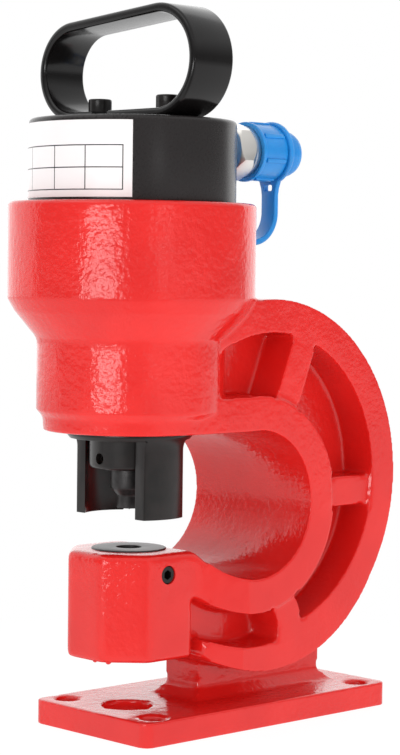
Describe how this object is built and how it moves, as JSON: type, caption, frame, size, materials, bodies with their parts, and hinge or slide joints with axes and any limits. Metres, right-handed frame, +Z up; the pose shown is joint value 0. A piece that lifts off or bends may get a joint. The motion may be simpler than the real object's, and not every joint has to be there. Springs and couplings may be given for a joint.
{
  "type": "hydraulic hole punch",
  "caption": "Bench hydraulic punch: a C-shaped ribbed casting on a base plate, with a spring-return ram, punch, stripper, die, carrying loop and capped oil coupler.",
  "frame": {"origin": "centre of the four bolt holes, on the underside of the base plate", "axes": "+Z up along the punch axis's direction, -X towards the open throat and the operator, the side with the die's set screw at -Y"},
  "size_m": [0.2335, 0.135, 0.393],
  "materials": {
    "red_enamel": "gloss red enamel over a cast surface",
    "black_paint": "semi-gloss black",
    "black_oxide": "black oxide",
    "tool_steel": "blackened tool steel with ground edges",
    "spring_steel": "oiled spring steel",
    "bronze": "turned bronze",
    "nickel_plate": "bright nickel plate",
    "blue_plastic": "soft moulded plastic",
    "white_label": "printed film",
    "black_rubber": "moulded nitrile",
    "seal_plastic": "moulded polyurethane",
    "ring_plastic": "turned plastic"
  },
  "bodies": {
    "frame": {"c_frame": "red_enamel", "cylinder_cap": "black_paint", "cap_o_ring": "black_rubber", "rating_label": "white_label", "carry_handle": "black_paint", "handle_screws": "black_oxide", "return_spring": "spring_steel", "rod_bush": "bronze", "rod_wiper": "black_rubber", "stripper": "black_oxide", "die": "tool_steel", "port_seal_washer": "nickel_plate", "coupler_body": "nickel_plate", "coupler_nose": "nickel_plate", "coupler_o_ring": "black_rubber", "poppet_spring": "spring_steel", "dust_cap_strap": "blue_plastic"},
    "ram": {"piston_rod": "black_oxide", "piston_seal": "seal_plastic", "piston_backup_ring": "ring_plastic", "piston_wear_ring": "ring_plastic", "punch": "tool_steel"},
    "punch_screw": {"punch_set_screw": "black_oxide"},
    "die_screw": {"die_set_screw": "black_oxide"},
    "poppet": {"coupler_poppet": "bronze"},
    "dust_cap": {"dust_cap": "blue_plastic"}
  },
  "joints": [
    {"name": "ram_slide", "type": "slide", "parent": "frame", "child": "ram", "axis": [0, 0, -1], "range_m": [0, 0.024], "stiffness_N_per_m": 6000, "springref_m": -0.02, "deforming": ["return_spring"]},
    {"name": "punch_screw_slide", "type": "slide", "parent": "ram", "child": "punch_screw", "axis": [-1, 0, 0], "range_m": [0, 0.0025]},
    {"name": "die_screw_slide", "type": "slide", "parent": "frame", "child": "die_screw", "axis": [0, -1, 0], "range_m": [0, 0.004]},
    {"name": "poppet_slide", "type": "slide", "parent": "frame", "child": "poppet", "axis": [-1, 0, 0], "range_m": [0, 0.003], "stiffness_N_per_m": 400, "springref_m": -0.004, "deforming": ["poppet_spring"]},
    {"name": "dust_cap_pull", "type": "slide", "parent": "frame", "child": "dust_cap", "axis": [1, 0, 0], "range_m": [0, 0.02], "deforming": ["dust_cap_strap"]}
  ]
}
